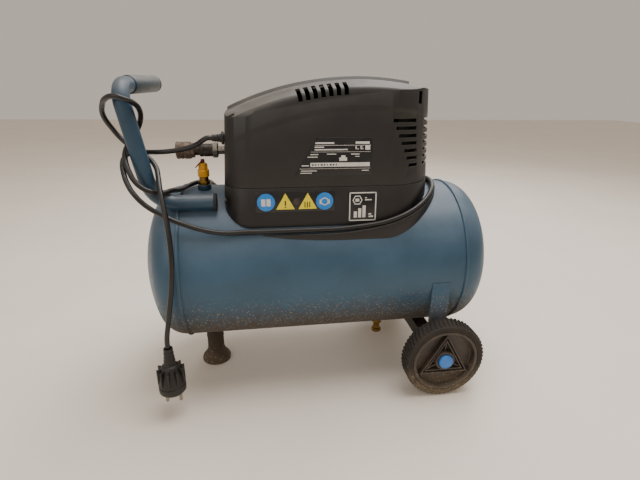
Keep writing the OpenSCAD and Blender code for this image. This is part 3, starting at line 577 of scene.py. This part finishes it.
def triangle_rib(reach, thick, low, high):
    """A raised three-cornered frame: one triangle, inset, its middle taken out, pulled up."""
    put_down()
    bpy.ops.mesh.primitive_circle_add(vertices=3, radius=reach * MM, fill_type="NGON",
        location=(0, 0, low * MM))
    frame_ = bpy.context.object
    bpy.ops.object.mode_set(mode="EDIT")
    bpy.ops.mesh.select_all(action="SELECT")
    bpy.ops.mesh.inset(thickness=thick * MM)
    bpy.ops.mesh.delete(type="FACE")
    bpy.ops.mesh.select_all(action="SELECT")
    bpy.ops.mesh.extrude_region_move(TRANSFORM_OT_translate={"value": (0, 0, (high - low) * MM)})
    bpy.ops.mesh.select_all(action="SELECT")
    bpy.ops.mesh.normals_make_consistent(inside=False)
    bpy.ops.object.mode_set(mode="OBJECT")
    return ease(settle(frame_, (0, 0, low)), 0.4, 2)


spokes = []
for angle in (0, 120, 240):
    web = block(15, 30, -1.1, 1.1, 16.5, 22, 0.4)
    spokes.append(settle(web, turn=(0, 0, angle + 90)))
rim = joined([bowl, triangle_rib(45, 2.2, 16.5, 25), triangle_rib(36, 2.0, 16.5, 24)] + spokes)
wheel_pair(rim, "rim_triangle", rim_plastic, "rim")
# cap: low dome with a stepped skirt
dome = turned([(6.8, 24), (10, 24), (10, 26.6), (11.2, 26.8), (11.3, 28.8), (10.9, 30.2), (10, 31.1),
    (8.6, 31.5), (8.2, 31.2), (5, 31.7), (1.5, 31.9)], 48)
wheel_pair(dome, "hub_cap", cap_abs, "cap")

# ---------------------------------------------------------------- tank, foot, axle
done(worked_copy("tank_barrel", 0), "tank_shell_rolled", tank_enamel, "tank", ["tank_barrel"],
    40)
done(worked_copy("tank_head_left", 0), "tank_dished_end_left", tank_enamel, "tank", ["tank_head_left"],
    40)
done(worked_copy("tank_head_right", 0), "tank_dished_end_right", tank_enamel, "tank", ["tank_head_right"],
    40)
done(worked_copy("foot_socket", 0.8), "foot_collar", tank_enamel, "tank", ["foot_socket"])
foot = turned([(4.2, 20.2), (4.2, 12), (12, 11), (20, 4), (22.6, 0), (24.2, 0.4), (24.4, 2), (24.2, 5.4),
    (23, 8), (19.6, 12.4), (16.4, 17), (14.6, 22),
    (14, 28), (14, 44), (14.6, 46), (14.6, 49), (14, 51), (14, 62), (13.2, 63.8), (4.2, 63.8)],
    64, bored=True)
done(settle(foot, (spot("rubber_foot").x, 0, 0)), "rubber_foot_flared", foot_rubber, "tank",
    ["rubber_foot"], 40)
for side in ("near", "far"):
    done(worked_copy("strap_" + side, 0.9), "wheel_strap_" + side, tank_enamel, "tank", ["strap_" + side])
done(worked_copy("axle_beam", 0.7), "axle_channel", black_paint, "tank", ["axle_beam"])
done(worked_copy("axle_rod", 1.0), "axle_rod_round", zinc, "tank", ["axle_rod"])
done(worked_copy("axle_spacers", 0.4), "axle_washers", zinc, "tank", ["axle_spacers"])
done(worked_copy("drain_boss", 1.0), "drain_socket", black_paint, "tank", ["drain_boss"])
done(worked_copy("drain_body", 0.7), "drain_cock_body", brass, "tank", ["drain_body"])
done(worked_copy("drain_knob", 0.6), "drain_cock_knob", brass, "drain_knob", ["drain_knob"])
done(worked_copy("platform", 0.5), "pump_deck", tank_enamel, "tank", ["platform"])

# ---------------------------------------------------------------- shroud
done(worked_copy("shroud_base", 2.0, 3), "shroud_skirt", base_abs, "tank", ["shroud_base"])
done(worked_copy("shroud_body", 0.8, 2), "shroud_lower_half", base_abs, "tank", ["shroud_body"])
done(worked_copy("shroud_cover", 0.9, 2), "shroud_upper_half", shroud_abs, "tank", ["shroud_cover"])

# dark sheets behind the end vents and behind the shoulder slots, so the vents read dark: painted shade in
# place of the shade inside the housing
vent_shade_sheet = turned([(71, 343), (73, 343), (73, 430), (71, 430)], 96, bored=True)
pick(vent_shade_sheet, lambda c, n: c.x < 0.012)
bpy.ops.mesh.delete(type="FACE")
bpy.ops.mesh.select_all(action="DESELECT")
bpy.ops.mesh.select_mode(type="EDGE")
bpy.ops.mesh.select_non_manifold()
bpy.ops.mesh.fill_holes(sides=0)
bpy.ops.object.mode_set(mode="OBJECT")
done(settle(vent_shade_sheet, (HOME + 88, 0, 0)), "end_vent_shade_sheet", pad_rubber, "tank")
strip = settle(block(-42, 42, 56, 58, 410, 432.5, 0.4), (HOME + 55, 0, 30), (0, -8.35, 0))
done(strip, "shoulder_slot_shade_sheet", pad_rubber, "tank")

# ---------------------------------------------------------------- plates
LEAN = math.atan(12 / 206)


def on_side(x, z, proud):
    """A point of the leaning near wall of the shroud."""
    return (HOME + x, -94 + (z - 239) * math.tan(LEAN) - proud, z)


def bar(x, z, w, h, y=0.0, thick=0.12):
    return block(x, x + w, y - thick, y, z, z + h)


def printed(shapes, x, z, name, material, proud=0.85):
    piece = settle(joined(shapes), on_side(x, z, proud), (-math.degrees(LEAN), 0, 0))
    return done(piece, name, material, "tank", angle=20)


done(worked_copy("rating_plate", 0.25), "rating_plate_blank", film_black, "tank", ["rating_plate"])
lines = [(28, 43.6, 26, 2.2), (84, 43.4, 20, 3.2), (27, 41.4, 79, 0.5), (27, 38.4, 13, 1.6),
    (27, 35, 46, 1.7), (84, 36.4, 1.6, 5.2),
         (84, 41, 5, 0.9), (84, 36.2, 5, 0.9), (91, 36.4, 1.6, 5.2), (91, 41, 4.5, 0.9),
         (91, 38.6, 3.5, 0.9), (91, 36.2, 4.5, 0.9), (98, 35.4, 7, 6.4), (22, 32.6, 84, 0.4),
         (21, 28.8, 11, 1.2), (44, 29.2, 13, 1.2), (78, 29, 12, 1.2), (17, 25.4, 14, 1.1), (64, 25, 6, 3),
         (61.5, 20.4, 11, 4.6),
         (21, 12.6, 84, 5.6), (9, 13.6, 10, 1.4), (6, 9.8, 100, 0.4), (8, 6.6, 22, 1.1),
         (7, 3.6, 16, 1.1), (94, 6.4, 10, 1.1), (84, 26, 6, 1)]
printed([bar(*spec) for spec in lines], -46, 344, "rating_plate_marks", ink_white)
dashes = [bar(23 + 4.2 * k, 14.2, 2.6 - (k % 3) * 0.6, 2.2, -0.12) for k in range(9)]
printed(dashes, -46, 344, "rating_plate_number_blanks", ink_black)

done(worked_copy("notice_strip", 0.25), "notice_strip_film", film_black, "tank", ["notice_strip"])
printed([plate_of((14.6, 14.5), 12.4, 0.12, 48), plate_of((97.2, 14.5), 12.4, 0.12, 48)], -102, 294,
    "notice_discs", ink_blue)


def triangle_sign(x):
    tri = plate_of((0, 0), 15.2, 0.12, 3)
    return settle(tri, (x, 0, 11.6))


printed([triangle_sign(41.5), triangle_sign(73)], -102, 294, "notice_triangles", ink_yellow)
marks = [bar(40.6, 9, 1.8, 7, -0.12), bar(40.6, 5.8, 1.8, 1.8, -0.12)]
marks += [bar(68.4 + 3.4 * k, 6, 1.4, 8, -0.12) for k in range(3)]
printed(marks, -102, 294, "notice_black_marks", ink_black)
book = [bar(8, 9, 5.6, 10, -0.12), bar(15.2, 9, 5.6, 10, -0.12)]
head = turned([(4.2, 0), (5.6, 0), (5.6, 0.12), (4.2, 0.12)], 32, bored=True)
book += [settle(head, (97.2, -0.12, 14), (90, 0, 0)), bar(90, 10.4, 2.6, 6.4, -0.12),
    bar(101.8, 10.4, 2.6, 6.4, -0.12)]
printed(book, -102, 294, "notice_white_marks", ink_white)
hole = plate_of((57.5, 14.5), 4.8, 0.1, 32)
printed([hole], -102, 294, "notice_middle_spot", rim_plastic)

done(worked_copy("noise_plate", 0.3), "level_plate_film", film_black, "tank", ["noise_plate"])
edge = [bar(1, 1, 40, 1.7), bar(1, 41.3, 40, 1.7), bar(1, 1, 1.7, 42), bar(39.3, 1, 1.7, 42)]
six = turned([(5.8, 0), (7.4, 0), (7.4, 0.12), (5.8, 0.12)], 6, bored=True)
edge += [settle(six, (13, 0, 31.6), (90, 30, 0)), bar(10, 29.4, 5.6, 4.4), bar(24, 31, 10, 1.6),
    bar(24, 34, 3, 1.4)]
edge += [bar(8, 6, 4.6, 9), bar(14.4, 6, 4.6, 13.5), bar(20.8, 6, 4.6, 17.5), bar(30, 6, 7, 2.2),
    bar(30, 9.6, 4, 2.2)]
printed(edge, 30, 277, "level_plate_marks", ink_white)

# ---------------------------------------------------------------- bar handle
LEG_Y, LEG_START, LEG_END = 68, -160, -208
LOW_BEND, TOP_BEND, BEND_STEPS = 40, 26, 12
GRIP_Z, GRIP_LENGTH = 460, 118
LEG_Z = TANK_Z + math.sqrt(131.4**2 - LEG_Y**2)
TILT, SWING, UP = math.radians(10), math.radians(6), math.radians(80)


def bar_line():
    """The bar's middle line: leg, bend, upright, bend, grip."""
    rise = Vector((-math.sin(TILT), 0, math.cos(TILT)))
    across = Vector((math.cos(TILT) * math.sin(SWING), math.cos(SWING), math.sin(TILT) * math.sin(SWING)))

    def low_bend(a):
        return Vector((LEG_END - LOW_BEND * math.sin(a), -LEG_Y, LEG_Z + LOW_BEND * (1 - math.cos(a))))

    def top_bend(a):
        return top + TOP_BEND * ((1 - math.cos(a)) * across + math.sin(a) * rise)

    reach = (GRIP_Z - TOP_BEND * math.cos(TILT) - low_bend(UP).z) / math.cos(TILT)
    top = low_bend(UP) + reach * rise
    points = [Vector((LEG_START, -LEG_Y, LEG_Z))]
    points += [low_bend(UP * k / BEND_STEPS) for k in range(BEND_STEPS + 1)]
    points += [top_bend(math.pi / 2 * k / BEND_STEPS) for k in range(BEND_STEPS + 1)]
    return points + [points[-1] + GRIP_LENGTH * across], points[-1], across


def bent_tube(points, radius, sides):
    """A tube drawn along a line, made a mesh."""
    put_down()
    curve = bpy.data.curves.new("drawn", "CURVE")
    curve.dimensions = "3D"
    path = curve.splines.new("POLY")
    path.points.add(len(points) - 1)
    for point, place in zip(path.points, points):
        point.co = (*((place + Vector((HOME, 0, 0))) * MM), 1)
    curve.bevel_depth = radius * MM
    curve.bevel_resolution = sides
    curve.use_fill_caps = True
    piece = bpy.data.objects.new("drawn", curve)
    bpy.context.scene.collection.objects.link(piece)
    take(piece)
    bpy.ops.object.convert(target="MESH")
    return bpy.context.object


steps, grip_start, across = bar_line()
# the bar in the darker copy of the tank's paint: painted shade
done(bent_tube(steps, 11, 8), "bar_tube_bent", shaded_bar_enamel, "tank", ["handle_tube"], 40)
to_grip = across.to_track_quat("Z", "Y").to_euler()
grip_turn = [math.degrees(a) for a in to_grip]
sleeve = turned([(11.02, 12), (12, 12), (12.5, 12.8), (12.5, 113), (12.2, 114), (12.5, 115),
    (12.5, 117.6), (11.02, 117.6)], 48, bored=True)
done(settle(sleeve, grip_start + Vector((HOME, 0, 0)), grip_turn), "bar_grip_sleeve", grip_foam, "tank",
    ["grip_sleeve"])
stop = turned([(8.9, 110), (9, 117.9), (12.4, 118), (12.5, 119.4), (11.8, 120.6), (10, 121), (4, 121)], 48)
done(settle(stop, grip_start + Vector((HOME, 0, 0)), grip_turn), "bar_grip_end_plug", pad_rubber, "tank",
    ["grip_end"])
done(worked_copy("handle_cap", 0.9), "bar_foot_plug", pad_rubber, "tank", ["handle_cap"])

# ---------------------------------------------------------------- safety valve
VALVE = Vector((HOME - 178, -12, 319))
# the valve socket in the same darker copy of the paint: painted shade
done(worked_copy("valve_boss", 1.0), "valve_socket", shaded_bar_enamel, "tank", ["valve_boss"])
done(worked_copy("valve_body", 0.6), "valve_brass_body", brass, "tank", ["valve_body"])
cap_turned = turned([(2.4, 12.2), (7.6, 12.2), (8.5, 12.8), (8.5, 15.4), (7.9, 15.9), (8.5, 16.4),
    (8.5, 18.6), (7.9, 19.1), (8.5, 19.6), (8.5, 22),
    (7.8, 23), (6.2, 23.3), (6.2, 30.8), (5.6, 32.2), (4.2, 33), (2.4, 33)], 40,
    bored=True)
flute = block(-0.7, 0.7, -6.7, -5.6, 23.6, 30.4, 0.25)
done(settle(joined([cap_turned, around(flute, 12)]), VALVE), "valve_yellow_cap", yellow_pa, "tank",
    ["valve_cap"], 40)
stem = turned([(2.2, 13), (2.2, 33.4), (3, 33.6), (3, 37.4), (2.4, 38.4), (1, 38.5)], 24)
put_down()
bpy.ops.mesh.primitive_torus_add(major_radius=7.4 * MM, minor_radius=0.8 * MM, major_segments=40,
    minor_segments=12)
loop = settle(bpy.context.object, (-8 * math.cos(math.radians(45)), 0,
    37 - 8 * math.sin(math.radians(45))), (0, -45, 0))
done(settle(joined([stem, loop]), VALVE), "valve_pull_ring", red_lacquer, "relief_ring", ["valve_ring"],
    40)

# ---------------------------------------------------------------- coupler
OUT = Vector((HOME - 142.31, -15, 371))
body = turned([(4.5, 67.4), (6.9, 68), (7.5, 67.2), (7.5, 38.2), (9, 38), (9.5, 37.4), (9.5, 33),
    (9.1, 32.6), (9.1, 31.6), (9.5, 31.2),
    (9.5, 24), (9.1, 23.6), (9.1, 22.6), (9.5, 22.2), (9.5, 19.2), (4.5, 19)], 48, bored=True)
done(settle(body, OUT, (0, -90, 0)), "coupler_body_turned", dark_steel, "tank", angle=40)
nut = turned([(6.4, 19.4), (10.4, 19.4), (12, 18.4), (12, 12.2), (10.4, 11.2), (6.6, 11.2), (6.6, -20),
    (5.2, -22)], 6)
done(settle(nut, OUT, (0, -90, 0)), "coupler_hexagon_nut", nickel, "tank", ["coupler_body"], 20)
grip = turned([(7.62, 71), (11.6, 71), (12.5, 70.2), (12.5, 66.4), (11.7, 65.8), (11.7, 64.6), (12.5, 64),
    (12.5, 61.6), (11.7, 61), (11.7, 59.8), (12.5, 59.2),
    (12.5, 51), (11.8, 50.2), (10.8, 50), (10.8, 46), (10.2, 45.1), (7.62, 45.1)], 48,
    bored=True)
done(settle(grip, OUT, (0, -90, 0)), "coupler_slide_sleeve", worn_steel, "coupler_sleeve",
    ["coupler_sleeve"], 40)

# ---------------------------------------------------------------- far side controls
FACE_Y = spot("gauge_body", v=1).y - 4
REG = Vector((spot("regulator_knob").x, FACE_Y, TANK_Z + 190))
knob = turned([(5, -33), (5, 1.4), (15, 1.6), (15.6, 2.4), (15.6, 16), (14.6, 18.4), (12, 19.8),
    (3, 19.8)], 48)
fin = block(-1, 1, -16, -14.8, 3, 15.6, 0.35)
done(settle(joined([knob, around(fin, 20)]), REG, (-90, 0, 0)), "regulator_knob_fluted", pad_rubber,
    "regulator_knob", ["regulator_knob"])
done(worked_copy("switch_knob", 0.9), "switch_knob_winged", red_abs, "switch_knob", ["switch_knob"])
done(worked_copy("gauge_body", 0.6), "gauge_case", zinc, "tank", ["gauge_body"])
GAUGE = Vector((spot("gauge_body").x, FACE_Y, TANK_Z + 190))
card = turned([(2.4, -1.2), (17.8, -1.2), (17.8, -0.9), (2.4, -0.9)], 48, bored=True)
done(settle(card, GAUGE, (-90, 0, 0)), "gauge_dial_card", dial_white, "tank")
ticks = []
for k in range(11):
    tick = block(-0.35, 0.35, 12.6 if k % 5 == 0 else 14, 16.6, -0.9, -0.78)
    ticks.append(settle(tick, turn=(0, 0, -135 + 27 * k)))
done(settle(joined(ticks), GAUGE, (-90, 0, 0)), "gauge_dial_ticks", ink_black, "tank",
    angle=20)

# ---------------------------------------------------------------- nodes kept as they are
kept = {
    "foot_stud": zinc, "rubber_mounts": pad_rubber, "cover_screws": zinc,
    "motor_stator": cast_aluminium, "motor_shaft": shaft_steel, "crank": shaft_steel, "fan": fan_nylon,
    "crankcase": cast_aluminium, "cylinder": cast_aluminium, "piston": cast_aluminium,
    "cylinder_head": cast_aluminium, "intake_filter": pad_rubber, "discharge_pipe": copper,
    "capacitor": white_can, "manifold": cast_aluminium, "gauge_needle": red_abs, "weld_beads": tank_enamel,
}
for name, material in kept.items():
    nodes[name].data.materials.clear()
    nodes[name].data.materials.append(material)


# ---------------------------------------------------------------- floor and light
def studio():
    put_down()
    bpy.ops.mesh.primitive_plane_add(size=12, location=(0, 0, 0))
    floor = bpy.context.object
    floor.name = "studio_floor"
    floor.data.materials.append(finish("studio_floor_card", "#EDE2D4", "#F1E7DA", patch=300, grain=5,
        rough=0.85, relief=0.02))
    world = bpy.data.worlds.new("studio")
    bpy.context.scene.world = world
    world.use_nodes = True
    world.node_tree.nodes["Background"].inputs["Color"].default_value = shade("#D3C8BC")
    world.node_tree.nodes["Background"].inputs["Strength"].default_value = 0.85
    for name, place, size, power in (
        ("key", (0.35, 0.1, 2.1), 1.5, 42),
        ("fill", (-1.2, -1.4, 1.3), 1.4, 8),
        ("back", (0.9, 1.3, 1.5), 1.2, 10),
    ):
        lamp = bpy.data.lights.new(name, "AREA")
        lamp.size = size
        lamp.energy = power
        light = bpy.data.objects.new(name, lamp)
        bpy.context.scene.collection.objects.link(light)
        light.location = place
        light.rotation_mode = "QUATERNION"
        aim = Vector((0, 0, 0.25)) - Vector(place)
        light.rotation_quaternion = aim.to_track_quat("-Z", "Y")


studio()
put_down()
bpy.context.view_layer.update()
